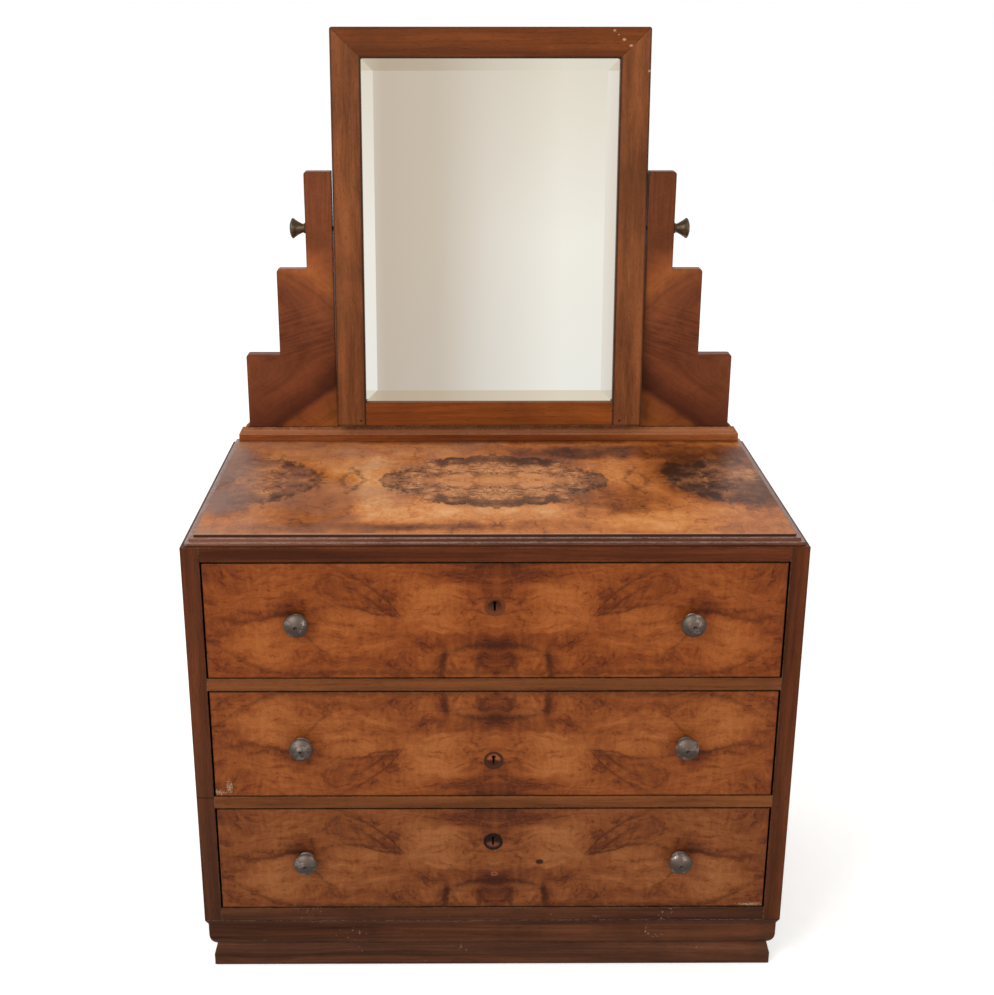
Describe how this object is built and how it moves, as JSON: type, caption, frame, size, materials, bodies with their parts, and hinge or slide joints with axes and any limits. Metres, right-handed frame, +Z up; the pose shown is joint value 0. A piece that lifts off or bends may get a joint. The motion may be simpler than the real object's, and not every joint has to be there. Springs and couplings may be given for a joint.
{
  "type": "dresser with mirror",
  "caption": "Walnut dressing chest of drawers on a moulded base, with a swing mirror held between stepped supports by brass thumb screws.",
  "frame": {"origin": "on the floor, under the middle of the whole piece's bounding box", "axes": "+X to the right as one faces the drawers, +Y from the drawer fronts to the back, +Z up"},
  "size_m": [0.914, 0.5762, 1.4333],
  "materials": {
    "walnut_dark": "walnut stained dark, straight grain, worn satin polish",
    "walnut_figured": "figured walnut veneer, matched about the middle, semi-gloss polish",
    "walnut_burr": "burr walnut veneer, quarter matched, semi-gloss polish",
    "walnut_mid": "straight-grained walnut, satin polish",
    "keyhole_inset": "dark dished inset round a keyhole",
    "drawer_wood": "bare hardwood, planed",
    "softwood": "bare softwood, planed",
    "plywood": "bare thin plywood, darkened with age",
    "brass_aged": "patinated brass, soft sheen",
    "brass": "brass, dulled by handling",
    "lock_steel": "dull steel",
    "mirror_glass": "silvered plate glass with a bevelled edge"
  },
  "bodies": {
    "case": {"back_panel": "plywood", "base_moulding": "walnut_dark", "bottom_rail": "walnut_dark", "divider_lower": "walnut_dark", "divider_upper": "walnut_dark", "drawer_guides": "softwood", "drawer_kickers": "softwood", "drawer_runners": "softwood", "drawer_stops": "softwood", "front_stile_left": "walnut_dark", "front_stile_right": "walnut_dark", "glue_blocks": "softwood", "mirror_base_rail": "walnut_dark", "mirror_support_left": "walnut_figured", "mirror_support_right": "walnut_figured", "plinth_boards": "walnut_dark", "side_panel_left": "walnut_dark", "side_panel_right": "walnut_dark", "top_blocks": "softwood", "top_board": "walnut_burr", "top_moulding": "walnut_dark", "top_rail": "walnut_dark"},
    "mirror": {"mirror_stile_right": "walnut_mid", "mirror_stile_left": "walnut_mid", "mirror_top_rail": "walnut_mid", "mirror_bottom_rail": "walnut_mid", "mirror_pivot_plates": "brass", "mirror_glass": "mirror_glass", "mirror_backboard": "plywood"},
    "thumb_screw_right": {"thumb_screw_right": "brass"},
    "thumb_screw_left": {"thumb_screw_left": "brass"},
    "top_drawer": {"top_drawer_back": "drawer_wood", "top_drawer_bottom": "plywood", "top_drawer_escutcheon": "keyhole_inset", "top_drawer_front": "walnut_figured", "top_drawer_knobs": "brass_aged", "top_drawer_lock": "lock_steel", "top_drawer_side_left": "drawer_wood", "top_drawer_side_right": "drawer_wood"},
    "top_drawer_bolt": {"top_drawer_bolt": "lock_steel"},
    "middle_drawer": {"middle_drawer_back": "drawer_wood", "middle_drawer_bottom": "plywood", "middle_drawer_escutcheon": "keyhole_inset", "middle_drawer_front": "walnut_figured", "middle_drawer_knobs": "brass_aged", "middle_drawer_lock": "lock_steel", "middle_drawer_side_left": "drawer_wood", "middle_drawer_side_right": "drawer_wood"},
    "middle_drawer_bolt": {"middle_drawer_bolt": "lock_steel"},
    "bottom_drawer": {"bottom_drawer_back": "drawer_wood", "bottom_drawer_bottom": "plywood", "bottom_drawer_escutcheon": "keyhole_inset", "bottom_drawer_front": "walnut_figured", "bottom_drawer_knobs": "brass_aged", "bottom_drawer_lock": "lock_steel", "bottom_drawer_side_left": "drawer_wood", "bottom_drawer_side_right": "drawer_wood"},
    "bottom_drawer_bolt": {"bottom_drawer_bolt": "lock_steel"}
  },
  "joints": [
    {"name": "mirror_tilt", "type": "hinge", "parent": "case", "child": "mirror", "pos_m": [0, 0.24788, 1.109], "axis": [1, 0, 0], "range_deg": [-85, 95]},
    {"name": "thumb_screw_right_turn", "type": "hinge", "parent": "case", "child": "thumb_screw_right", "pos_m": [0.3115, 0.24788, 1.109], "axis": [1, 0, 0], "range_deg": [0, 360]},
    {"name": "thumb_screw_left_turn", "type": "hinge", "parent": "case", "child": "thumb_screw_left", "pos_m": [-0.3115, 0.24788, 1.109], "axis": [-1, 0, 0], "range_deg": [0, 360]},
    {"name": "top_drawer_slide", "type": "slide", "parent": "case", "child": "top_drawer", "axis": [0, -1, 0], "range_m": [0, 0.38]},
    {"name": "top_drawer_bolt_throw", "type": "slide", "parent": "top_drawer", "child": "top_drawer_bolt", "axis": [0, 0, 1], "range_m": [0, 0.009]},
    {"name": "middle_drawer_slide", "type": "slide", "parent": "case", "child": "middle_drawer", "axis": [0, -1, 0], "range_m": [0, 0.38]},
    {"name": "middle_drawer_bolt_throw", "type": "slide", "parent": "middle_drawer", "child": "middle_drawer_bolt", "axis": [0, 0, 1], "range_m": [0, 0.009]},
    {"name": "bottom_drawer_slide", "type": "slide", "parent": "case", "child": "bottom_drawer", "axis": [0, -1, 0], "range_m": [0, 0.38]},
    {"name": "bottom_drawer_bolt_throw", "type": "slide", "parent": "bottom_drawer", "child": "bottom_drawer_bolt", "axis": [0, 0, 1], "range_m": [0, 0.009]}
  ]
}
